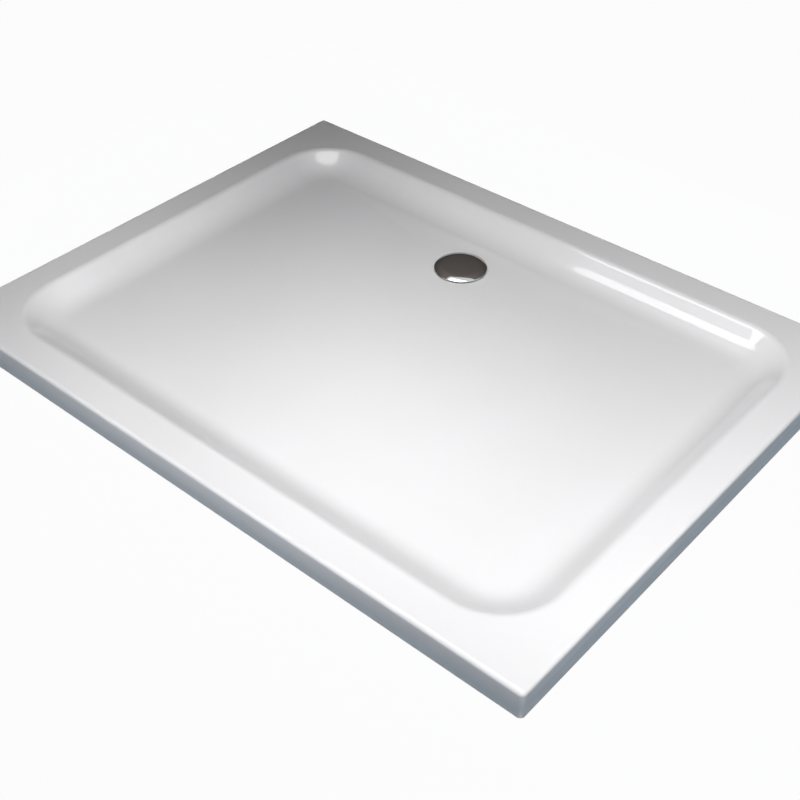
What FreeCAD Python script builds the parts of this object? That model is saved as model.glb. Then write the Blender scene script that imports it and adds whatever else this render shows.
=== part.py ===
"""Low-profile shower tray, 1000 x 760 mm, with its domed waste and bottle trap.

An acrylic skin is formed first and stone resin is cast into its back, so the tray lies on
its own flat underside. The trap hangs below it, in a hole in the floor.
Millimetres, +Z up. X runs along the long sides and +Y points at the long side nearest the
waste. The origin is the middle of the underside.
"""
import FreeCAD, Part
import math
import os

V = FreeCAD.Vector
os.makedirs("parts", exist_ok=True)

# --- Tray ---
TRAY_LENGTH = 1000.0
TRAY_WIDTH = 760.0
TRAY_HEIGHT = 42.0
RIM_WIDTH = 50.0          # flat rim, measured to the sharp edge under its round
BASIN_DEPTH = 25.0        # at the foot of the walls
FLOOR_FALL = 2.0          # from there down to the waste
WALL_ANGLE = 35.0         # degrees from level
BASIN_CORNER_R = 90.0     # in plan, at the rim
RIM_ROUND_R = 18.0        # rim into wall
FOOT_ROUND_R = 70.0       # wall into floor
OUTER_EDGE_R = 5.0        # rim into skirt
OUTER_CORNER_R = 6.0      # in plan
SKIN_THICKNESS = 3.0      # acrylic
SKIRT_GAP = 2.0           # the skin stops this far above the underside

# --- Waste in the tray ---
WASTE_FROM_BACK = 172.0
WASTE_FROM_LEFT = 446.0
WASTE_HOLE_R = 30.0
LANDING_WIDTH = 4.0       # level ring of floor round the recess
RECESS_DEPTH = 4.0
RECESS_LIP_R = 3.5
LEAST_ROUND = 0.5         # where the inset leaves a lip no room
TRAP_POCKET_R = 65.0      # in the underside
TRAP_POCKET_DEPTH = 2.5

# --- Flange and gaskets ---
FLANGE_R = 38.0
FLANGE_THICKNESS = 1.5
FLANGE_GAP = 0.5          # flange to recess wall
FLANGE_TUBE_R = 28.5
FLANGE_TUBE_LENGTH = 26.5
FLANGE_BORE_R = 26.0
SEAT_BORE_R = 24.0        # below the ledge that carries the dip tube
SEAT_DEPTH = 9.5          # flange top to ledge
KEY_SLOT_WIDTH = 6.0
KEY_SLOT_DEPTH = 3.0
GASKET_THICKNESS = 1.5

# --- Dip tube and its ring ---
DIP_RIM_HEIGHT = 4.0
DIP_RIM_GAP = 0.3
DIP_NECK_LENGTH = 13.0
DIP_NECK_BORE_R = 20.0
DIP_TAPER_LENGTH = 4.0
DIP_TUBE_R = 20.0
DIP_WALL = 2.0
RING_THICKNESS = 2.1
RING_GAP = 0.15           # ring to bore
RING_DEPTH = 6.0          # ledge to middle of ring
HUB_R = 7.0
HUB_HEIGHT = 8.0
HUB_BELOW_RIM = 2.0
SPOKE_WIDTH = 2.4
SPOKE_COUNT = 3

# --- Hair strainer ---
STRAINER_THICKNESS = 1.6
STRAINER_GAP = 0.5        # strainer to flange bore
STRAINER_HOLE_R = 2.2
STRAINER_ROWS = ((11.0, 9), (16.5, 14), (21.5, 18))   # radius and number of holes

# --- Cover and its carrier ---
COVER_R = 40.0
COVER_THICKNESS = 0.8
COVER_CROWN_R = 450.0     # curve of the nearly flat middle
COVER_FLAT_R = 27.0       # reach of that middle
COVER_SHOULDER_ANGLE = 28.0   # degrees from level where the edge starts
COVER_EDGE_R = 1.2
COVER_GAP = 1.0           # cover edge above the floor beside the waste
ARM_THICKNESS = 1.4
ARM_WIDTH = 7.0
ARM_COUNT = 3
STEM_R = 4.0
STEM_COLLAR_R = 6.5       # stands on the strainer and carries the cover
STEM_GAP = 0.1            # stem in the hub and the strainer
STEM_BELOW_HUB = 3.0

# --- Trap ---
COLLAR_R = 48.0
COLLAR_THICKNESS = 4.0
THREAD_GAP = 0.15         # mating threads, drawn at their mean size
TRAP_WALL = 3.0
NECK_WALL = 4.4
BOWL_R = 36.0             # inside
WATER_SEAL = 50.0
BOWL_FLOOR_GAP = 11.5     # dip tube's end to bowl floor
BOWL_FOOT_R = 10.0
TRAP_LAP = 5.0            # sleeve of the bowl over the end of the head

# --- Outlet ---
OUTLET_BELOW_TRAY = 39.0
OUTLET_BORE_R = 17.5
STUB_WALL = 3.0
BALL_R = 24.0
BALL_CENTRE = 70.0        # waste axis to ball centre
BALL_GAP = 0.3
BALL_END = 10.0           # the ball is cut off this far behind its centre
SOCKET_R = 28.0
SOCKET_DEPTH = 14.0       # ball centre to socket floor
SOCKET_MOUTH = 6.0        # ball centre to socket mouth
SEAL_LENGTH = 4.0
WASHER_THICKNESS = 1.2
NUT_R = 34.0
NUT_LIP = 3.8
NUT_LENGTH = 23.0
NUT_GRIPS = 12
NUT_GRIP_R = 4.0
PIPE_R = 20.0
PIPE_BORE_R = 17.4
PIPE_END = 58.0           # ball centre to pipe end

# --- Sizes that follow from those above ---
FOOT_Z = TRAY_HEIGHT - BASIN_DEPTH
WASTE_Z = FOOT_Z - FLOOR_FALL
RECESS_Z = WASTE_Z - RECESS_DEPTH
RECESS_R = FLANGE_R + FLANGE_GAP
LANDING_R = RECESS_R + RECESS_LIP_R + LANDING_WIDTH
FLANGE_TOP_Z = RECESS_Z + GASKET_THICKNESS + FLANGE_THICKNESS
FLANGE_END_Z = FLANGE_TOP_Z - FLANGE_TUBE_LENGTH
LEDGE_Z = FLANGE_TOP_Z - SEAT_DEPTH
DIP_TOP_Z = LEDGE_Z + DIP_RIM_HEIGHT
DIP_NECK_END_Z = LEDGE_Z - DIP_NECK_LENGTH
STRAINER_TOP_Z = DIP_TOP_Z + STRAINER_THICKNESS
COVER_EDGE_Z = WASTE_Z + COVER_GAP
HUB_TOP_Z = DIP_TOP_Z - HUB_BELOW_RIM
HUB_END_Z = HUB_TOP_Z - HUB_HEIGHT
STEM_END_Z = HUB_END_Z - STEM_BELOW_HUB
COLLAR_TOP_Z = TRAP_POCKET_DEPTH - GASKET_THICKNESS
COLLAR_END_Z = COLLAR_TOP_Z - COLLAR_THICKNESS
THREAD_R = FLANGE_TUBE_R + THREAD_GAP
NECK_R = THREAD_R + NECK_WALL
OUTLET_Z = -OUTLET_BELOW_TRAY
DIP_END_Z = OUTLET_Z - OUTLET_BORE_R - WATER_SEAL
BOWL_FLOOR_Z = DIP_END_Z - BOWL_FLOOR_GAP
TRAP_JOINT_Z = OUTLET_Z - OUTLET_BORE_R - STUB_WALL - 1.5 * TRAP_LAP
WASTE_X = WASTE_FROM_LEFT - TRAY_LENGTH / 2
WASTE_Y = TRAY_WIDTH / 2 - WASTE_FROM_BACK
SLOPE = math.tan(math.radians(WALL_ANGLE))
HALF_SLOPE = math.tan(math.radians(WALL_ANGLE / 2))


def rounded_rectangle(length, width, corner_r, z):
    """A closed wire round the middle of the tray: four lines and four quarter arcs."""
    x = length / 2 - corner_r
    y = width / 2 - corner_r
    leg = corner_r / math.sqrt(2)
    edges = []
    for sx, sy, turn in ((1, 1, 1), (-1, 1, -1), (-1, -1, 1), (1, -1, -1)):
        along_x = V(sx * x, sy * (y + corner_r), z)
        along_y = V(sx * (x + corner_r), sy * y, z)
        middle = V(sx * (x + leg), sy * (y + leg), z)
        start, end = (along_y, along_x) if turn > 0 else (along_x, along_y)
        if edges:
            edges.append(Part.LineSegment(edges[-1].Vertexes[-1].Point, start).toShape())
        edges.append(Part.Arc(start, middle, end).toShape())
    edges.append(Part.LineSegment(edges[-1].Vertexes[-1].Point, edges[0].Vertexes[0].Point).toShape())
    return Part.Wire(edges)


def lathe(outline):
    """Turn an outline of (r, z) points about Z; (r, z, mid_r, mid_z) ends an arc through a point."""
    edges = []
    last = V(outline[-1][0], 0, outline[-1][1])
    for point in outline:
        here = V(point[0], 0, point[1])
        if len(point) == 4:
            edges.append(Part.Arc(last, V(point[2], 0, point[3]), here).toShape())
        else:
            edges.append(Part.LineSegment(last, here).toShape())
        last = here
    return Part.Face(Part.Wire(edges)).revolve(V(0, 0, 0), V(0, 0, 1), 360)


def disc(radius, z_low, z_high):
    return Part.makeCylinder(radius, z_high - z_low, V(0, 0, z_low))


def ring(inner_r, outer_r, z_low, z_high):
    return disc(outer_r, z_low, z_high).cut(disc(inner_r, z_low, z_high))


def arc_point(centre_r, centre_z, radius, degrees):
    angle = math.radians(degrees)
    return (centre_r + radius * math.cos(angle), centre_z + radius * math.sin(angle))


def turned_copies(shape, count):
    """Copies of a shape spaced evenly about Z."""
    copies = []
    for index in range(count):
        copy = shape.copy()
        copy.rotate(V(0, 0, 0), V(0, 0, 1), 360.0 * index / count)
        copies.append(copy)
    return copies


def at_waste(shape):
    """Move a piece made round Z to the waste."""
    shape = shape.copy()
    shape.translate(V(WASTE_X, WASTE_Y, 0))
    return shape


def at_outlet(shape):
    """Lay a piece made round Z along the outlet, with its zero at the ball's centre."""
    shape = shape.copy()
    shape.rotate(V(0, 0, 0), V(1, 0, 0), -90)
    shape.translate(V(WASTE_X, WASTE_Y + BALL_CENTRE, OUTLET_Z))
    return shape


def save(name, shape):
    """Write one sub-part, as the solids it holds."""
    shape = shape.removeSplitter()
    solids = shape.Solids
    assert solids and shape.isValid(), name
    if len(solids) == 1:
        solids[0].exportStep("parts/" + name + ".step")
    else:
        Part.makeCompound(solids).exportStep("parts/" + name + ".step")
    box = shape.BoundBox
    print(f"{name}: {len(solids)} solid, {shape.Volume / 1000:.2f} cm3, z {box.ZMin:.2f} to {box.ZMax:.2f}")


# --- Tray: the same form twice, the finished surface and the back of the skin ---
def basin(inset):
    """The hollow of the basin, at a depth below the finished surface."""
    spread = inset * HALF_SLOPE
    top_z = TRAY_HEIGHT - inset
    foot_z = FOOT_Z - inset
    length = TRAY_LENGTH - 2 * RIM_WIDTH + 2 * spread
    width = TRAY_WIDTH - 2 * RIM_WIDTH + 2 * spread
    corner_r = BASIN_CORNER_R + spread
    run = BASIN_DEPTH / SLOPE
    top = rounded_rectangle(length, width, corner_r, top_z)
    foot = rounded_rectangle(length - 2 * run, width - 2 * run, corner_r - run, foot_z)
    hollow = Part.makeLoft([top, foot], True, True)
    foot_edges = [e for e in hollow.Edges if e.BoundBox.ZMax < foot_z + 0.01]
    hollow = hollow.makeFillet(FOOT_ROUND_R + inset, foot_edges)
    above = Part.Face(top).extrude(V(0, 0, RIM_ROUND_R))
    return hollow.fuse(above).removeSplitter()


def waste_circle(radius, z):
    """A circle round the waste in eight arcs, one for each side and corner of the floor."""
    half_x = TRAY_LENGTH / 2 - RIM_WIDTH - BASIN_CORNER_R
    half_y = TRAY_WIDTH / 2 - RIM_WIDTH - BASIN_CORNER_R
    reach = BASIN_CORNER_R
    corners = ((half_x + reach, half_y), (half_x, half_y + reach), (-half_x, half_y + reach),
               (-half_x - reach, half_y), (-half_x - reach, -half_y), (-half_x, -half_y - reach),
               (half_x, -half_y - reach), (half_x + reach, -half_y))
    angles = [math.atan2(y - WASTE_Y, x - WASTE_X) for x, y in corners]
    edges = []
    for index, start in enumerate(angles):
        end = angles[(index + 1) % len(angles)]
        sweep = (end - start) % (2 * math.pi)
        points = [V(WASTE_X + radius * math.cos(start + sweep * share),
                    WASTE_Y + radius * math.sin(start + sweep * share), z) for share in (0, 0.5, 1)]
        edges.append(Part.Arc(*points).toShape())
    return Part.Wire(edges)


def floor_fall(inset):
    """The shallow hollow that drains the floor to the waste from every side."""
    foot_inset = RIM_WIDTH + BASIN_DEPTH / SLOPE + FOOT_ROUND_R * HALF_SLOPE
    corner_r = BASIN_CORNER_R + RIM_WIDTH - foot_inset
    outline = rounded_rectangle(TRAY_LENGTH - 2 * foot_inset, TRAY_WIDTH - 2 * foot_inset,
                                corner_r, FOOT_Z - inset)
    centre = waste_circle(LANDING_R, WASTE_Z - inset)
    above = Part.Face(outline).extrude(V(0, 0, BASIN_DEPTH / 2))
    return Part.makeLoft([outline, centre], True, True).fuse(above)


def waste_recess(inset):
    """The round recess for the flange, with a soft lip, and the hole below it."""
    wall_r = RECESS_R + inset
    floor_z = RECESS_Z - inset
    lip_z = WASTE_Z - inset
    lip_r = max(min(RECESS_LIP_R, RECESS_DEPTH - LEAST_ROUND) - inset, LEAST_ROUND)
    lip_middle = arc_point(wall_r + lip_r, lip_z - lip_r, lip_r, 135)
    above_z = lip_z + RECESS_DEPTH
    hollow = lathe([(0, floor_z), (wall_r, floor_z), (wall_r, lip_z - lip_r),
                    (wall_r + lip_r, lip_z) + lip_middle, (wall_r + lip_r, above_z), (0, above_z)])
    return hollow.fuse(disc(WASTE_HOLE_R, -SKIN_THICKNESS, lip_z))


def tray_form(inset):
    """The whole tray as one block, drawn inside its finished surface by an inset."""
    length = TRAY_LENGTH - 2 * inset
    width = TRAY_WIDTH - 2 * inset
    height = TRAY_HEIGHT - inset
    block = Part.makeBox(length, width, height, V(-length / 2, -width / 2, 0))
    upright = [e for e in block.Edges if e.BoundBox.ZLength > height / 2]
    block = block.makeFillet(OUTER_CORNER_R - inset, upright)
    rim = [e for e in block.Edges if e.BoundBox.ZMin > height - 0.01]
    block = block.makeFillet(OUTER_EDGE_R - inset, rim)
    block = block.cut(basin(inset))
    mid_x = (TRAY_LENGTH - RIM_WIDTH) / 2
    mid_y = (TRAY_WIDTH - RIM_WIDTH) / 2
    edge = [e for e in block.Edges if e.BoundBox.ZMin > height - 0.01
            and -mid_x < e.BoundBox.XMin and e.BoundBox.XMax < mid_x
            and -mid_y < e.BoundBox.YMin and e.BoundBox.YMax < mid_y]
    block = block.makeFillet(RIM_ROUND_R - inset, edge)
    block = block.cut(floor_fall(inset))
    return block.cut(at_waste(waste_recess(inset)))


def tray_shell(core):
    """Acrylic skin: everything between the finished surface and the stone resin."""
    trim = Part.makeBox(TRAY_LENGTH, TRAY_WIDTH, SKIRT_GAP, V(-TRAY_LENGTH / 2, -TRAY_WIDTH / 2, 0))
    return tray_form(0).cut(core).cut(trim)


def resin_core(core):
    """Stone resin cast behind the skin, flat underneath, with a pocket round the trap."""
    return core.cut(at_waste(disc(TRAP_POCKET_R, 0, TRAP_POCKET_DEPTH)))


core_form = tray_form(SKIN_THICKNESS)
save("tray_shell", tray_shell(core_form))
save("resin_core", resin_core(core_form))


# --- Waste flange, clamped between two gaskets ---
def waste_flange():
    """Chromed flange and its threaded tube, with a ledge inside and two slots for the key."""
    bevel = FLANGE_THICKNESS / 2
    body = lathe([(FLANGE_BORE_R + bevel, FLANGE_TOP_Z), (FLANGE_R - bevel, FLANGE_TOP_Z),
                  (FLANGE_R, FLANGE_TOP_Z - bevel), (FLANGE_R, FLANGE_TOP_Z - FLANGE_THICKNESS),
                  (FLANGE_TUBE_R, FLANGE_TOP_Z - FLANGE_THICKNESS), (FLANGE_TUBE_R, FLANGE_END_Z),
                  (SEAT_BORE_R, FLANGE_END_Z), (SEAT_BORE_R, LEDGE_Z), (FLANGE_BORE_R, LEDGE_Z),
                  (FLANGE_BORE_R, FLANGE_TOP_Z - bevel)])
    reach = FLANGE_BORE_R + (FLANGE_TUBE_R - FLANGE_BORE_R) / 2
    slot = Part.makeBox(2 * reach, KEY_SLOT_WIDTH, KEY_SLOT_DEPTH,
                        V(-reach, -KEY_SLOT_WIDTH / 2, FLANGE_TOP_Z - KEY_SLOT_DEPTH))
    return body.cut(slot)


def flange_gasket():
    return ring(WASTE_HOLE_R, FLANGE_R - FLANGE_THICKNESS / 2, RECESS_Z, RECESS_Z + GASKET_THICKNESS)


def tray_gasket():
    return ring(WASTE_HOLE_R, COLLAR_R - GASKET_THICKNESS, COLLAR_TOP_Z, TRAP_POCKET_DEPTH)


save("waste_flange", at_waste(waste_flange()))
save("flange_gasket", at_waste(flange_gasket()))
save("tray_gasket", at_waste(tray_gasket()))


# --- Trap: two mouldings, because the bowl is wider than the neck; a welded lap joins them ---
def trap_head():
    """Collar, threaded neck and the side outlet, whose socket takes the pipe's ball."""
    shoulder_z = FLANGE_END_Z - (BOWL_R - THREAD_R) / 2
    outer_r = BOWL_R + TRAP_WALL
    outside = lathe([(0, COLLAR_TOP_Z), (COLLAR_R, COLLAR_TOP_Z), (COLLAR_R, COLLAR_END_Z),
                     (NECK_R, COLLAR_END_Z), (NECK_R, FLANGE_END_Z), (outer_r, shoulder_z),
                     (outer_r, TRAP_JOINT_Z), (0, TRAP_JOINT_Z)])
    inside = lathe([(0, COLLAR_TOP_Z + 1), (THREAD_R, COLLAR_TOP_Z + 1), (THREAD_R, FLANGE_END_Z),
                    (BOWL_R, shoulder_z), (BOWL_R, TRAP_JOINT_Z - 1), (0, TRAP_JOINT_Z - 1)])
    stub_r = OUTLET_BORE_R + STUB_WALL
    flare = SOCKET_R - stub_r
    stub = lathe([(0, -BALL_CENTRE + BOWL_R / 2), (stub_r, -BALL_CENTRE + BOWL_R / 2),
                  (stub_r, -SOCKET_DEPTH - STUB_WALL - flare), (SOCKET_R, -SOCKET_DEPTH - STUB_WALL),
                  (SOCKET_R, SOCKET_MOUTH), (0, SOCKET_MOUTH)])
    port = disc(OUTLET_BORE_R, -BALL_CENTRE, 0)
    socket = disc(BALL_R + 2 * BALL_GAP, -SOCKET_DEPTH, SOCKET_MOUTH + 1)
    body = outside.fuse(at_outlet_from_waste(stub))
    return body.cut([inside, at_outlet_from_waste(port), at_outlet_from_waste(socket)])


def trap_bowl():
    """Bowl that holds the water seal; its sleeve laps the end of the head."""
    outer_r = BOWL_R + TRAP_WALL
    sleeve_r = outer_r + TRAP_WALL
    foot = BOWL_FOOT_R
    end_z = BOWL_FLOOR_Z - TRAP_WALL
    outer_foot = arc_point(outer_r - foot, end_z + foot, foot, -45)
    inner_foot = arc_point(BOWL_R - foot, BOWL_FLOOR_Z + foot, foot, -45)
    return lathe([(BOWL_R, TRAP_JOINT_Z), (outer_r, TRAP_JOINT_Z), (outer_r, TRAP_JOINT_Z + TRAP_LAP),
                  (sleeve_r, TRAP_JOINT_Z + TRAP_LAP), (sleeve_r, TRAP_JOINT_Z), (outer_r, TRAP_JOINT_Z - TRAP_LAP),
                  (outer_r, end_z + foot), (outer_r - foot, end_z) + outer_foot, (0, end_z),
                  (0, BOWL_FLOOR_Z), (BOWL_R - foot, BOWL_FLOOR_Z), (BOWL_R, BOWL_FLOOR_Z + foot) + inner_foot])


def at_outlet_from_waste(shape):
    """As at_outlet, for pieces that are still drawn round the waste."""
    shape = at_outlet(shape)
    shape.translate(V(-WASTE_X, -WASTE_Y, 0))
    return shape


save("trap_head", at_waste(trap_head()))
save("trap_bowl", at_waste(trap_bowl()))


# --- Outlet: seal, washer, nut and a ball-ended pipe that swings in the socket ---
def ball_seal():
    """Rubber ring at the bottom of the socket, hollowed to the ball."""
    clear = BALL_R + BALL_GAP
    back = -SOCKET_DEPTH
    front = back + SEAL_LENGTH
    back_r = math.sqrt(clear**2 - back**2)
    front_r = math.sqrt(clear**2 - front**2)
    middle = (back + front) / 2
    return lathe([(BALL_R + 2 * BALL_GAP, back), (BALL_R + 2 * BALL_GAP, front), (front_r, front),
                  (back_r, back, math.sqrt(clear**2 - middle**2), middle)])


def slip_washer():
    """Thin ring between the mouth of the socket and the lip of the nut."""
    inner_r = math.sqrt((BALL_R + BALL_GAP)**2 - SOCKET_MOUTH**2)
    return ring(inner_r, SOCKET_R - THREAD_GAP, SOCKET_MOUTH, SOCKET_MOUTH + WASHER_THICKNESS)


def outlet_nut():
    """Nut on the socket's thread; its lip holds the ball."""
    lip_back = SOCKET_MOUTH + WASHER_THICKNESS
    lip_front = lip_back + NUT_LIP
    back = lip_front - NUT_LENGTH
    lip_r = math.sqrt((BALL_R + BALL_GAP)**2 - lip_back**2)
    bevel = NUT_LIP / 3
    body = lathe([(lip_r, lip_back), (SOCKET_R + THREAD_GAP, lip_back), (SOCKET_R + THREAD_GAP, back),
                  (NUT_R - bevel, back), (NUT_R, back + bevel), (NUT_R, lip_front - bevel),
                  (NUT_R - bevel, lip_front), (lip_r, lip_front)])
    groove = Part.makeCylinder(NUT_GRIP_R, NUT_LENGTH, V(NUT_R + NUT_GRIP_R * 0.6, 0, back))
    return body.cut(turned_copies(groove, NUT_GRIPS))


def outlet_pipe():
    """Pipe with a ball end; the ball turns in the socket."""
    end_r = math.sqrt(BALL_R**2 - BALL_END**2)
    shoulder = math.sqrt(BALL_R**2 - PIPE_R**2)
    bevel = (PIPE_R - PIPE_BORE_R) / 2
    return lathe([(PIPE_BORE_R, -BALL_END), (end_r, -BALL_END), (PIPE_R, shoulder, BALL_R, 0),
                  (PIPE_R, PIPE_END - bevel), (PIPE_R - bevel, PIPE_END), (PIPE_BORE_R, PIPE_END)])


save("outlet_seal", at_outlet(ball_seal()))
save("slip_washer", at_outlet(slip_washer()))
save("outlet_nut", at_outlet(outlet_nut()))
save("outlet_pipe", at_outlet(outlet_pipe()))


# --- Dip tube: lifts out of the flange for cleaning ---
def dip_tube():
    """Rim on the ledge, a neck with a ring groove, a long tube into the water, and a hub on spokes."""
    rim_r = FLANGE_BORE_R - DIP_RIM_GAP
    neck_r = SEAT_BORE_R - DIP_RIM_GAP
    ring_z = LEDGE_Z - RING_DEPTH
    half_groove = RING_THICKNESS / 2 + RING_GAP
    groove_r = SEAT_BORE_R - RING_GAP - RING_THICKNESS
    bore_r = DIP_TUBE_R - DIP_WALL
    taper_z = DIP_NECK_END_Z - DIP_TAPER_LENGTH
    tube = lathe([(DIP_NECK_BORE_R, DIP_TOP_Z), (rim_r, DIP_TOP_Z), (rim_r, LEDGE_Z), (neck_r, LEDGE_Z),
                  (neck_r, ring_z + half_groove), (groove_r, ring_z + half_groove),
                  (groove_r, ring_z - half_groove), (neck_r, ring_z - half_groove),
                  (neck_r, DIP_NECK_END_Z), (DIP_TUBE_R, taper_z), (DIP_TUBE_R, DIP_END_Z),
                  (bore_r, DIP_END_Z), (bore_r, taper_z), (DIP_NECK_BORE_R, DIP_NECK_END_Z)])
    reach = DIP_NECK_BORE_R + 1
    spoke = Part.makeBox(reach, SPOKE_WIDTH, HUB_HEIGHT * 0.75,
                         V(0, -SPOKE_WIDTH / 2, HUB_TOP_Z - HUB_HEIGHT * 0.75))
    hub = disc(HUB_R, HUB_END_Z, HUB_TOP_Z)
    bore = disc(STEM_R + STEM_GAP, HUB_END_Z - 1, HUB_TOP_Z + 1)
    return tube.fuse([hub] + turned_copies(spoke, SPOKE_COUNT)).cut(bore)


def dip_ring():
    """Rubber ring that seals the dip tube in the flange."""
    middle_r = SEAT_BORE_R - RING_GAP - RING_THICKNESS / 2
    return Part.makeTorus(middle_r, RING_THICKNESS / 2, V(0, 0, LEDGE_Z - RING_DEPTH))


save("dip_tube", at_waste(dip_tube()))
save("dip_tube_ring", at_waste(dip_ring()))


# --- Hair strainer: lies on the rim of the dip tube ---
def hair_strainer():
    plate = ring(STEM_R + STEM_GAP, FLANGE_BORE_R - STRAINER_GAP, DIP_TOP_Z, STRAINER_TOP_Z)
    holes = []
    for row_r, count in STRAINER_ROWS:
        hole = Part.makeCylinder(STRAINER_HOLE_R, STRAINER_THICKNESS + 2, V(row_r, 0, DIP_TOP_Z - 1))
        holes += turned_copies(hole, count)
    return plate.cut(holes)


save("hair_strainer", at_waste(hair_strainer()))


# --- Cover: pressed and chromed dome, snapped on a moulded carrier ---
def dome(drop):
    """Outline of the dome, or of a surface a drop below it: top, end of middle, end of shoulder."""
    flat = math.asin(COVER_FLAT_R / COVER_CROWN_R)
    steep = math.radians(COVER_SHOULDER_ANGLE)
    end_r = COVER_R - COVER_EDGE_R * (1 - math.sin(steep))
    end_z = COVER_EDGE_Z + COVER_EDGE_R * math.cos(steep)
    shoulder_r = (end_r - COVER_FLAT_R) / (math.sin(steep) - math.sin(flat))
    centre_r = end_r - shoulder_r * math.sin(steep)
    centre_z = end_z - shoulder_r * math.cos(steep)
    crown_z = centre_z + (shoulder_r - COVER_CROWN_R) * math.cos(flat)
    flat_end = 90 - math.degrees(flat)
    steep_end = 90 - COVER_SHOULDER_ANGLE
    crown = COVER_CROWN_R - drop
    shoulder = shoulder_r - drop
    return ((0, crown_z + crown),
            arc_point(0, crown_z, crown, flat_end) + arc_point(0, crown_z, crown, (90 + flat_end) / 2),
            arc_point(centre_r, centre_z, shoulder, steep_end)
            + arc_point(centre_r, centre_z, shoulder, (flat_end + steep_end) / 2))


def shell_under_dome(drop, thickness):
    """Dome-shaped layer of one thickness, its outside a drop below the finished dome."""
    top, flat, steep = dome(drop)
    low_top, low_flat, low_steep = dome(drop + thickness)
    return lathe([top, flat, steep, low_steep[:2], low_flat[:2] + low_steep[2:], low_top + low_flat[2:]])


def waste_cover():
    """Shallow dome of one thickness with its edge turned down."""
    edge_z = COVER_EDGE_Z
    turn = (90 - COVER_SHOULDER_ANGLE) / 2
    outer = arc_point(COVER_R - COVER_EDGE_R, edge_z, COVER_EDGE_R, turn)
    inner = arc_point(COVER_R - COVER_EDGE_R, edge_z, COVER_EDGE_R - COVER_THICKNESS, turn)
    end, inner_end = dome(0)[2][:2], dome(COVER_THICKNESS)[2][:2]
    edge = lathe([end, (COVER_R, edge_z) + outer, (COVER_R - COVER_THICKNESS, edge_z), inner_end + inner])
    return shell_under_dome(0, COVER_THICKNESS).fuse(edge)


def cover_carrier():
    """Three arms under the dome and a stem that stands in the hub of the dip tube."""
    top_z = dome(COVER_THICKNESS + ARM_THICKNESS / 2)[0][1]
    span = Part.makeBox(COVER_R, ARM_WIDTH, 2 * COVER_R, V(0, -ARM_WIDTH / 2, -COVER_R))
    wedge = disc(HUB_R, -COVER_R, COVER_R).fuse(turned_copies(span, ARM_COUNT))
    arms = shell_under_dome(COVER_THICKNESS, ARM_THICKNESS).common(wedge)
    stem = disc(STEM_R, STEM_END_Z, STRAINER_TOP_Z)
    collar = disc(STEM_COLLAR_R, STRAINER_TOP_Z, top_z)
    return arms.fuse([collar, stem])


save("waste_cover", at_waste(waste_cover()))
save("cover_carrier", at_waste(cover_carrier()))
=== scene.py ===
"""Looks of the shower tray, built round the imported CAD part.

Metres, +Z up. The tray lies on the floor at z = 0 with its trap in a hole below it, and the
waste is near the far long side, left of the middle.
"""
import math

import bpy
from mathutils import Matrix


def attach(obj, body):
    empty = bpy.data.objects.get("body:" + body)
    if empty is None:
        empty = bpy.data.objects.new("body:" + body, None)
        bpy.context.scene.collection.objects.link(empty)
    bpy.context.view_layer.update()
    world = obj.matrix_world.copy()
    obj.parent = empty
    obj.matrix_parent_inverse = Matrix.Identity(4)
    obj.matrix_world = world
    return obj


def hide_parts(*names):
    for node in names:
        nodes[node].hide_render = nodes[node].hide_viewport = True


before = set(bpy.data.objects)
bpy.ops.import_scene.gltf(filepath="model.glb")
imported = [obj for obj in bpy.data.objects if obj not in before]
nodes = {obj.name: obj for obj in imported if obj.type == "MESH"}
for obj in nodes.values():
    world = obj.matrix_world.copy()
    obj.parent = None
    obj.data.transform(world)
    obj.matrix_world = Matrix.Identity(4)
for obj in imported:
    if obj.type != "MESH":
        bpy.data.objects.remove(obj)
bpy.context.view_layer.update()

# --- Camera ---
# Above the near right corner, so that both long sides run off to the upper left. The tray fills
# the frame, and its left and right corners lie just outside it.
camera = bpy.data.objects.new("camera", bpy.data.cameras.new("camera"))
camera.data.sensor_width = 36.0
camera.data.lens = 58.02
camera.location = (0.93374, -1.06914, 1.09868)
camera.rotation_euler = (math.radians(50.238), 0.0, math.radians(40.949))
bpy.context.scene.collection.objects.link(camera)
bpy.context.scene.camera = camera

# --- Tray shell ---
# One sheet of white acrylic, 3 mm thick, drawn hot over a mould: a flat rim, sloped walls with
# soft rounds, a floor that falls to the waste, and a skirt folded down outside. Its mesh is a set
# of closed loops, from the waste hole out over the finished face and back under the sheet.
SKIN = 0.003
HALF_LENGTH, HALF_WIDTH, TRAY_TOP = 0.5, 0.38, 0.042
RIM_WIDTH, FOOT_Z, WASTE_Z = 0.05, 0.017, 0.015
WALL_TILT = 35                # degrees from level
RIM_ROUND, FOOT_ROUND, OUTER_EDGE, OUTER_CORNER = 0.018, 0.070, 0.005, 0.006
BASIN_CORNER = 0.140          # plan radius of a basin corner plus its distance from the edge
SKIRT_END = 0.002
WASTE_X, WASTE_Y = -0.054, 0.208
HOLE_R, RECESS_R, RECESS_Z, LIP_R, LANDING_R = 0.030, 0.0385, 0.011, 0.0035, 0.046
CORNER_STEPS, LONG_STEPS, SHORT_STEPS, FLOOR_STEPS = 24, 36, 28, 26
FOOT_STEPS, RIM_STEPS, EDGE_STEPS, LIP_STEPS = 22, 14, 8, 8
NEAR = 0.0004                 # an extra loop this close to each change of curve keeps shading crisp


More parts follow.
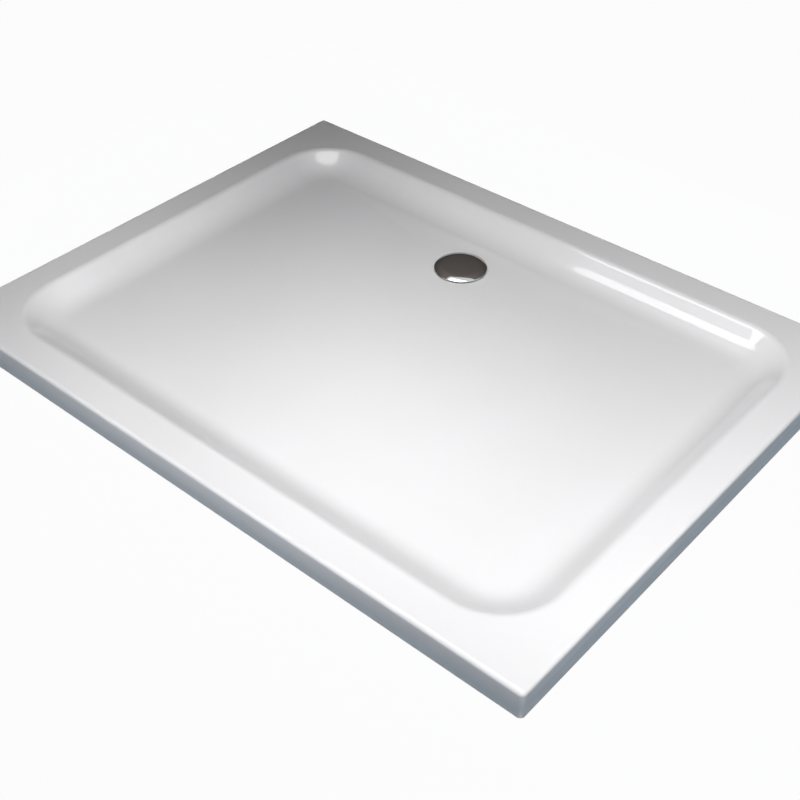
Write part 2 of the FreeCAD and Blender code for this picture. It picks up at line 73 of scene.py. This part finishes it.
def tray_loop(inset, z):
    """Points of a rounded rectangle, this far in from the tray's outer edge."""
    radius = BASIN_CORNER - inset if inset > RIM_WIDTH / 2 else OUTER_CORNER - inset
    x, y = HALF_LENGTH - inset - radius, HALF_WIDTH - inset - radius
    points = []
    for sx, sy, start, run, steps in ((1, 1, 0, 2 * x, LONG_STEPS), (-1, 1, 90, 2 * y, SHORT_STEPS),
                                      (-1, -1, 180, 2 * x, LONG_STEPS), (1, -1, 270, 2 * y, SHORT_STEPS)):
        for step in range(CORNER_STEPS):
            turn = math.radians(start + 90 * step / CORNER_STEPS)
            points.append((sx * x + radius * math.cos(turn), sy * y + radius * math.sin(turn), z))
        turn = math.radians(start + 90)
        for step in range(steps):
            along = run * step / steps
            points.append((sx * x + radius * math.cos(turn) - along * math.sin(turn),
                           sy * y + radius * math.sin(turn) + along * math.cos(turn), z))
    return points


def bend(centre, centre_z, radius, first, last, steps):
    """Points along an arc of a section; 0 degrees points away from the centre line, 90 up."""
    turns = [math.radians(first + (last - first) * step / steps) for step in range(steps + 1)]
    return [(centre + radius * math.cos(turn), centre_z + radius * math.sin(turn)) for turn in turns]


def wall_section(drop):
    """(inset, z) from the foot of the wall over the rim to the end of the skirt."""
    half = math.tan(math.radians(WALL_TILT / 2))
    slope = math.tan(math.radians(WALL_TILT))
    foot_inset = RIM_WIDTH + (TRAY_TOP - FOOT_Z) / slope + FOOT_ROUND * half
    rim_inset = RIM_WIDTH - RIM_ROUND * half
    top, turned_in = TRAY_TOP - drop, NEAR if drop == 0 else -NEAR
    foot = bend(-foot_inset, FOOT_Z + FOOT_ROUND, FOOT_ROUND + drop, -90, WALL_TILT - 90, FOOT_STEPS)
    rim = bend(-rim_inset, TRAY_TOP - RIM_ROUND, RIM_ROUND - drop, 90 + WALL_TILT, 90, RIM_STEPS)
    (foot_x, foot_z), (rim_x, rim_z) = foot[-1], rim[0]
    arcs = (foot + [(foot_x + NEAR, foot_z + NEAR * slope), (rim_x - NEAR, rim_z - NEAR * slope)] + rim
            + [(-rim_inset + NEAR, top), (-OUTER_EDGE - NEAR, top)]
            + bend(-OUTER_EDGE, TRAY_TOP - OUTER_EDGE, OUTER_EDGE - drop, 90, 0, EDGE_STEPS)
            + [(-drop, TRAY_TOP - OUTER_EDGE - NEAR), (-drop, SKIRT_END + NEAR),
               (-drop - turned_in, SKIRT_END)])
    return [(-x, z) for x, z in arcs]


def recess_section(drop):
    """(radius, z) from the waste hole over the lip of the recess to the landing round it."""
    wall_r, low = RECESS_R + drop, RECESS_Z - drop
    lip = bend(RECESS_R + LIP_R, WASTE_Z - LIP_R, LIP_R - drop, 180, 90, LIP_STEPS)
    return ([(HOLE_R, low), (wall_r - NEAR, low), (wall_r, low + NEAR)] + lip
            + [(RECESS_R + LIP_R + NEAR, WASTE_Z - drop), (LANDING_R, WASTE_Z - drop)])


def skin_loops(drop):
    """Loops over one face of the sheet, from the waste hole to the end of the skirt."""
    walls = [tray_loop(inset, z) for inset, z in wall_section(drop)]
    spokes = [(math.hypot(x - WASTE_X, y - WASTE_Y), math.atan2(y - WASTE_Y, x - WASTE_X))
              for x, y, z in walls[0]]
    rings = [[(WASTE_X + r * math.cos(turn), WASTE_Y + r * math.sin(turn), z) for reach, turn in spokes]
             for r, z in recess_section(drop)]
    for step in range(1, FLOOR_STEPS):
        share = step / FLOOR_STEPS
        z = WASTE_Z - drop + (FOOT_Z - WASTE_Z) * share**2 * (3 - 2 * share)
        ring = []
        for reach, turn in spokes:
            r = LANDING_R + (reach - LANDING_R) * share
            ring.append((WASTE_X + r * math.cos(turn), WASTE_Y + r * math.sin(turn), z))
        rings.append(ring)
    return rings + walls


def looped_mesh(name, loops, capped):
    """Quads between neighbouring loops; the ends are capped, or else the last meets the first."""
    count = len(loops[0])
    faces = []
    for ring in range(len(loops) - (1 if capped else 0)):
        here, there = ring * count, (ring + 1) % len(loops) * count
        faces += [(here + step, there + step, there + (step + 1) % count, here + (step + 1) % count)
                  for step in range(count)]
    if capped:
        last = (len(loops) - 1) * count
        faces += [tuple(range(count)), tuple(last + step for step in reversed(range(count)))]
    mesh = bpy.data.meshes.new(name)
    mesh.from_pydata([point for loop in loops for point in loop], [], faces)
    mesh.shade_smooth()
    piece = bpy.data.objects.new(name, mesh)
    bpy.context.scene.collection.objects.link(piece)
    return piece


def linear(hex_colour):
    """An sRGB hex colour as the linear RGBA that the shaders take."""
    parts = [int(hex_colour[place:place + 2], 16) / 255 for place in (1, 3, 5)]
    return tuple(c / 12.92 if c <= 0.04045 else ((c + 0.055) / 1.055)**2.4 for c in parts) + (1.0,)


def add(material, kind, settings=None, links=None):
    """Add a shader node. Settings go to its fields or sockets; links give (node, output) to sockets."""
    node = material.node_tree.nodes.new("ShaderNode" + kind)
    for name, value in (settings or {}).items():
        if isinstance(name, str) and hasattr(node, name):
            setattr(node, name, value)
        else:
            node.inputs[name].default_value = value
    for name, (source, output) in (links or {}).items():
        material.node_tree.links.new(source.outputs[output], node.inputs[name])
    return node


def new_material(name):
    """An empty material and its output node."""
    material = bpy.data.materials.new(name)
    material.use_nodes = True
    material.node_tree.nodes.clear()
    return material, add(material, "OutputMaterial")


# Cast acrylic sheet, drawn hot: the eye sees a deep clean white under a hard gloss that is a
# little uneven, so that reflections bend softly on the walls, with no grain.
acrylic, surface = new_material("white_acrylic_gloss")
place = add(acrylic, "TexCoord")
clouds = add(acrylic, "TexNoise", {"Scale": 7.0, "Detail": 2.0}, {"Vector": (place, "Object")})
ripple = add(acrylic, "TexNoise", {"Scale": 22.0, "Detail": 1.0}, {"Vector": (place, "Object")})
white = add(acrylic, "MixRGB", {"Color1": linear("#F0F0F1"), "Color2": linear("#F4F4F6")},
            {"Fac": (clouds, "Fac")})
gloss = add(acrylic, "MapRange", {"To Min": 0.03, "To Max": 0.05}, {"Value": (clouds, "Fac")})
waves = add(acrylic, "Bump", {"Strength": 0.25, "Distance": 0.0001}, {"Height": (ripple, "Fac")})
sheet = add(acrylic, "BsdfPrincipled", {"IOR": 1.49},
            {"Base Color": (white, "Color"), "Roughness": (gloss, "Result"), "Normal": (waves, "Normal")})
acrylic.node_tree.links.new(sheet.outputs["BSDF"], surface.inputs["Surface"])

skin = looped_mesh("tray_skin", skin_loops(0.0) + skin_loops(SKIN)[::-1], capped=False)
skin.data.materials.append(acrylic)
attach(skin, "root")
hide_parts("tray_shell")

# --- Resin core ---
# Polyester resin filled with ground limestone, poured into the back of the upturned skin and
# levelled, so that the underside is flat. It shows as a thin line under the skirt.
resin, surface = new_material("cast_stone_resin_matt")
place = add(resin, "TexCoord")
grains = add(resin, "TexVoronoi", {"Scale": 900.0}, {"Vector": (place, "Object")})
flow = add(resin, "TexNoise", {"Scale": 14.0, "Detail": 4.0}, {"Vector": (place, "Object")})
stone = add(resin, "MixRGB", {"Color1": linear("#A9A296"), "Color2": linear("#C9C4B9")},
            {"Fac": (flow, "Fac")})
specks = add(resin, "MixRGB", {"Color2": linear("#8E877B")},
             {"Color1": (stone, "Color"), "Fac": (grains, "Distance")})
pits = add(resin, "Bump", {"Strength": 0.4, "Distance": 0.0004}, {"Height": (grains, "Distance")})
block = add(resin, "BsdfPrincipled", {"Roughness": 0.75, "IOR": 1.56},
            {"Base Color": (specks, "Color"), "Normal": (pits, "Normal")})
resin.node_tree.links.new(block.outputs["BSDF"], surface.inputs["Surface"])


def dress(node, material):
    """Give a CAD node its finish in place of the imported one."""
    mesh = nodes[node].data
    mesh.materials.clear()
    mesh.materials.append(material)


dress("resin_core", resin)

# --- Waste flange and its gaskets ---
# The flange is turned brass, polished and chromed, and screws down into the trap's neck. It
# clamps the tray between two black rubber rings, one in the recess and one under the tray.
chrome, surface = new_material("polished_chrome_plate")
place = add(chrome, "TexCoord")
smears = add(chrome, "TexNoise", {"Scale": 90.0, "Detail": 3.0}, {"Vector": (place, "Object")})
polish = add(chrome, "MapRange", {"To Min": 0.03, "To Max": 0.10}, {"Value": (smears, "Fac")})
dapple = add(chrome, "Bump", {"Strength": 0.1, "Distance": 0.00005}, {"Height": (smears, "Fac")})
plate = add(chrome, "BsdfPrincipled", {"Base Color": linear("#C6C8C9"), "Metallic": 1.0},
            {"Roughness": (polish, "Result"), "Normal": (dapple, "Normal")})
chrome.node_tree.links.new(plate.outputs["BSDF"], surface.inputs["Surface"])

# Moulded nitrile rubber: a soft black with a dusty bloom and no clear reflection.
rubber, surface = new_material("moulded_black_rubber")
place = add(rubber, "TexCoord")
bloom = add(rubber, "TexNoise", {"Scale": 160.0, "Detail": 4.0}, {"Vector": (place, "Object")})
black = add(rubber, "MixRGB", {"Color1": linear("#191919"), "Color2": linear("#2C2B2A")},
            {"Fac": (bloom, "Fac")})
skinned = add(rubber, "Bump", {"Strength": 0.2, "Distance": 0.0001}, {"Height": (bloom, "Fac")})
ring = add(rubber, "BsdfPrincipled", {"Roughness": 0.62, "IOR": 1.52},
           {"Base Color": (black, "Color"), "Normal": (skinned, "Normal")})
rubber.node_tree.links.new(ring.outputs["BSDF"], surface.inputs["Surface"])

dress("waste_flange", chrome)
dress("flange_gasket", rubber)
dress("tray_gasket", rubber)

# --- Trap head and bowl ---
# Two mouldings in white polypropylene, welded at a lap below the outlet. The head takes the
# flange's thread and the outlet, and the bowl holds the water that keeps smells down.
polypropylene, surface = new_material("white_polypropylene_satin")
place = add(polypropylene, "TexCoord")
flow = add(polypropylene, "TexNoise", {"Scale": 30.0, "Detail": 3.0}, {"Vector": (place, "Object")})
spark = add(polypropylene, "TexNoise", {"Scale": 1400.0, "Detail": 1.0}, {"Vector": (place, "Object")})
milky = add(polypropylene, "MixRGB", {"Color1": linear("#DEDCD4"), "Color2": linear("#E9E8E2")},
            {"Fac": (flow, "Fac")})
eroded = add(polypropylene, "Bump", {"Strength": 0.25, "Distance": 0.00006}, {"Height": (spark, "Fac")})
moulding = add(polypropylene, "BsdfPrincipled", {"Roughness": 0.38, "IOR": 1.49},
               {"Base Color": (milky, "Color"), "Normal": (eroded, "Normal")})
polypropylene.node_tree.links.new(moulding.outputs["BSDF"], surface.inputs["Surface"])

dress("trap_head", polypropylene)
dress("trap_bowl", polypropylene)

# --- Outlet ---
# A ball-ended pipe in the trap's socket, on a rubber seal, held by a washer and a grip nut. The
# pipe turns a few degrees until the nut is tight. All but the seal are white polypropylene.
dress("outlet_seal", rubber)
dress("slip_washer", polypropylene)
dress("outlet_nut", polypropylene)
dress("outlet_pipe", polypropylene)

# --- Dip tube and hair strainer ---
# Both are moulded in grey polypropylene and lift out by hand. The tube stands on the flange's
# ledge with a rubber ring round its neck, and the strainer lies on the tube's rim.
grey, surface = new_material("grey_polypropylene_satin")
place = add(grey, "TexCoord")
flow = add(grey, "TexNoise", {"Scale": 45.0, "Detail": 3.0}, {"Vector": (place, "Object")})
spark = add(grey, "TexNoise", {"Scale": 1400.0, "Detail": 1.0}, {"Vector": (place, "Object")})
slate = add(grey, "MixRGB", {"Color1": linear("#5A5D60"), "Color2": linear("#6A6D70")},
            {"Fac": (flow, "Fac")})
eroded = add(grey, "Bump", {"Strength": 0.25, "Distance": 0.00006}, {"Height": (spark, "Fac")})
moulding = add(grey, "BsdfPrincipled", {"Roughness": 0.42, "IOR": 1.49},
               {"Base Color": (slate, "Color"), "Normal": (eroded, "Normal")})
grey.node_tree.links.new(moulding.outputs["BSDF"], surface.inputs["Surface"])

dress("dip_tube", grey)
dress("dip_tube_ring", rubber)
dress("hair_strainer", grey)

# --- Waste cover ---
# A disc of 0.8 mm brass pressed to a shallow dome, almost flat in the middle, with its edge
# turned down, then polished and chromed. It snaps over three moulded arms.
COVER_R, COVER_SHEET, COVER_EDGE_Z = 0.040, 0.0008, 0.016
CROWN_R, CROWN_REACH, SHOULDER_TILT, COVER_EDGE_R = 0.450, 0.027, 28, 0.0012
COVER_STEPS, CROWN_STEPS, SHOULDER_STEPS, COVER_EDGE_STEPS = 128, 12, 14, 6


def cover_section(drop):
    """(radius, z) of the dome from its middle to its turned-down edge."""
    flat, steep = math.asin(CROWN_REACH / CROWN_R), math.radians(SHOULDER_TILT)
    edge_x = COVER_R - COVER_EDGE_R
    end_r = edge_x + COVER_EDGE_R * math.sin(steep)
    end_z = COVER_EDGE_Z + COVER_EDGE_R * math.cos(steep)
    shoulder_r = (end_r - CROWN_REACH) / (math.sin(steep) - math.sin(flat))
    centre_x, centre_z = end_r - shoulder_r * math.sin(steep), end_z - shoulder_r * math.cos(steep)
    crown_z = centre_z + (shoulder_r - CROWN_R) * math.cos(flat)
    middle = math.degrees(math.asin(NEAR / CROWN_R))
    join, shoulder = 90 - math.degrees(flat), 90 - SHOULDER_TILT
    return (bend(0, crown_z, CROWN_R - drop, 90 - middle, join, CROWN_STEPS)
            + bend(centre_x, centre_z, shoulder_r - drop, join, shoulder, SHOULDER_STEPS)[1:]
            + bend(edge_x, COVER_EDGE_Z, COVER_EDGE_R - drop, shoulder, 0, COVER_EDGE_STEPS)[1:])


loops = []
for r, z in cover_section(0.0) + cover_section(COVER_SHEET)[::-1]:
    turns = [2 * math.pi * step / COVER_STEPS for step in range(COVER_STEPS)]
    loops.append([(WASTE_X + r * math.cos(turn), WASTE_Y + r * math.sin(turn), z) for turn in turns])
cover = looped_mesh("domed_cover", loops, capped=True)
cover.data.materials.append(chrome)
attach(cover, "cover")
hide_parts("waste_cover")
dress("cover_carrier", grey)

# --- Studio ---
# A white floor and a white room. The floor keeps the tray's soft shadow. Two soft lamps at the
# near side make the fall of light to the far left, and a softbox overhead the highlights.


def any_shown_ray(surroundings):
    """1 for the camera's rays and for those that gloss or glass sends out, and 0 for the rest."""
    rays = add(surroundings, "LightPath")
    camera_or_gloss = add(surroundings, "Math", {"operation": "MAXIMUM"},
                          {0: (rays, "Is Camera Ray"), 1: (rays, "Is Glossy Ray")})
    return add(surroundings, "Math", {"operation": "MAXIMUM"},
               {0: (camera_or_gloss, "Value"), 1: (rays, "Is Transmission Ray")})


# Shown rays see the floor all but white, with a trace of the lit paint and of the tray's shadow.
# The paint is a cool grey, so little light comes back from it to the tray. It is clear from below.
SHOWN_WHITE = 0.97
floor_paint, surface = new_material("studio_floor_white")
shown = any_shown_ray(floor_paint)
seen = add(floor_paint, "Math", {"operation": "MULTIPLY", 1: SHOWN_WHITE}, {0: (shown, "Value")})
paint = add(floor_paint, "BsdfDiffuse", {"Color": linear("#959EA7")})
glow = add(floor_paint, "Emission", {"Color": linear("#FFFFFF")})
both = add(floor_paint, "MixShader", None,
           {"Fac": (seen, "Value"), 1: (paint, "BSDF"), 2: (glow, "Emission")})
face = add(floor_paint, "NewGeometry")
clear = add(floor_paint, "BsdfTransparent")
top_only = add(floor_paint, "MixShader", None,
               {"Fac": (face, "Backfacing"), 1: (both, "Shader"), 2: (clear, "BSDF")})
floor_paint.node_tree.links.new(top_only.outputs["Shader"], surface.inputs["Surface"])


def border(name, inner, outer, z, sides, material):
    """A flat border between two rectangles, for the studio set. Sides are back, left, front, right."""
    mesh = bpy.data.meshes.new(name)
    mesh.from_pydata([(sx * x, sy * y, z) for x, y in (inner, outer)
                      for sx, sy in ((1, 1), (-1, 1), (-1, -1), (1, -1))],
                     [], [(side, 4 + side, 4 + (side + 1) % 4, (side + 1) % 4) for side in sides])
    piece = bpy.data.objects.new(name, mesh)
    bpy.context.scene.collection.objects.link(piece)
    piece.data.materials.append(material)
    return piece


# The floor has a hole under the tray, for the trap.
FLOOR_REACH, FLOOR_LAP, FLOOR_Z = 6.0, 0.09, 0.0002
hole = (HALF_LENGTH - FLOOR_LAP, HALF_WIDTH - FLOOR_LAP)
border("studio_floor", hole, (FLOOR_REACH, FLOOR_REACH), FLOOR_Z, (0, 1, 2, 3), floor_paint)

# Glowing cards on the floor round the tray; their colour is their own light, not a lit card. The two
# near ones glow grey and only glossy surfaces see them: their glow is the skirt's cool sheen, a painted
# reflection. The two far ones glow pale and light the skirt that no lamp reaches.
CARD_WIDTH, CARD_Z = 0.30, 0.0004
card_inner = (HALF_LENGTH, HALF_WIDTH)
card_outer = (HALF_LENGTH + CARD_WIDTH, HALF_WIDTH + CARD_WIDTH)
for name, sides, glow_tone in (("near_cards", (2, 3), "#98A3AD"), ("far_cards", (0, 1), "#DDE2E7")):
    card_glow_sheet, surface = new_material(name + "_paper")
    # Emission: each card's tone is painted light that it gives off itself, not lamp light bounced back.
    card_glow = add(card_glow_sheet, "Emission", {"Color": linear(glow_tone)})
    card_glow_sheet.node_tree.links.new(card_glow.outputs["Emission"], surface.inputs["Surface"])
    cards = border(name, card_inner, card_outer, CARD_Z, sides, card_glow_sheet)
    cards.visible_camera = cards.visible_shadow = False
    cards.visible_diffuse = name == "far_cards"

# The room is as white as the floor to shown rays, and gives the tray only a faint light.
room = bpy.data.worlds.new("studio_room")
bpy.context.scene.world = room
room.use_nodes = True
room.node_tree.nodes.clear()
shown = any_shown_ray(room)
level = add(room, "MapRange", {"To Min": 0.03, "To Max": 0.975}, {"Value": (shown, "Value")})
walls = add(room, "Background", {"Color": linear("#FFFFFF")}, {"Strength": (level, "Result")})
add(room, "OutputWorld", None, {"Surface": (walls, "Background")})


def soft_lamp(name, place, target, size, power, spread):
    """A white rectangular soft lamp that faces a target."""
    lamp = bpy.data.lights.new(name, "AREA")
    lamp.shape = "RECTANGLE"
    lamp.size, lamp.size_y = size
    lamp.energy = power
    lamp.spread = math.radians(spread)
    holder = bpy.data.objects.new(name, lamp)
    holder.location = place
    away = [p - t for p, t in zip(place, target)]
    holder.rotation_euler = (math.atan2(math.hypot(away[0], away[1]), away[2]), 0,
                             math.atan2(away[0], -away[1]))
    bpy.context.scene.collection.objects.link(holder)
    return holder


# The near lamp lights the near part of the basin. The side lamp looks past the right end of the
# tray, which gets only the edge of its light.
near_key = soft_lamp("near_softbox", place=(0.306, -0.578, 0.817), target=(-0.220, -0.210, 0.03),
                     size=(0.7, 0.7), power=2.72, spread=76)
side_key = soft_lamp("side_softbox", place=(0.683, -0.616, 1.255), target=(2.359, 0.875, 0.03),
                     size=(0.8, 0.5), power=31.6, spread=159)
for lamp in (near_key, side_key):
    lamp.visible_camera = lamp.visible_glossy = False
# Gloss alone sees the softbox overhead. The lamp below is for the underside and the trap.
gleam = soft_lamp("highlight_softbox", place=(-0.145, 0.155, 1.3), target=(-0.145, 0.155, 0.0),
                  size=(0.79, 0.41), power=5.2, spread=180)
gleam.visible_diffuse = gleam.visible_camera = False
under = soft_lamp("under_softbox", place=(0.0, 0.0, -1.2), target=(0.0, 0.0, 0.0),
                  size=(0.8, 0.6), power=15.0, spread=180)
under.visible_camera = under.visible_glossy = False

# A dark folded screen behind the two far sides. It is lit by nothing and glows by itself, dimmer at the
# foot and lighter higher up. Only glossy surfaces see it, so this glow is a painted reflection that
# darkens the cover's mirror and the far edges of the rim.
SCREEN_TOP, FADE_FROM, FADE_TO = 4.5, 1.0, 3.2
screen_glow_sheet, surface = new_material("dark_screen_cloth")
place = add(screen_glow_sheet, "TexCoord")
height = add(screen_glow_sheet, "SeparateXYZ", None, {"Vector": (place, "Object")})
rise = add(screen_glow_sheet, "MapRange", {"From Min": FADE_FROM, "From Max": FADE_TO}, {"Value": (height, "Z")})
# Painted reflection: the screen's glow runs from a dark foot to a lighter top.
glow_by_height = add(screen_glow_sheet, "MixRGB", {"Color1": linear("#534D49"), "Color2": linear("#7C7570")},
           {"Fac": (rise, "Result")})
screen_glow = add(screen_glow_sheet, "Emission", None, {"Color": (glow_by_height, "Color")})
screen_glow_sheet.node_tree.links.new(screen_glow.outputs["Emission"], surface.inputs["Surface"])
folds = [(2.2, 2.2), (-1.6, 2.2), (-2.2, 1.6), (-2.2, -2.2)]
mesh = bpy.data.meshes.new("dark_screen")
mesh.from_pydata([(x, y, z) for x, y in folds for z in (0.0, SCREEN_TOP)], [],
                 [(2 * fold, 2 * fold + 2, 2 * fold + 3, 2 * fold + 1) for fold in range(len(folds) - 1)])
screen = bpy.data.objects.new("dark_screen", mesh)
bpy.context.scene.collection.objects.link(screen)
screen.data.materials.append(screen_glow_sheet)
screen.visible_camera = screen.visible_diffuse = screen.visible_shadow = False

bpy.context.scene.view_settings.view_transform = "Standard"
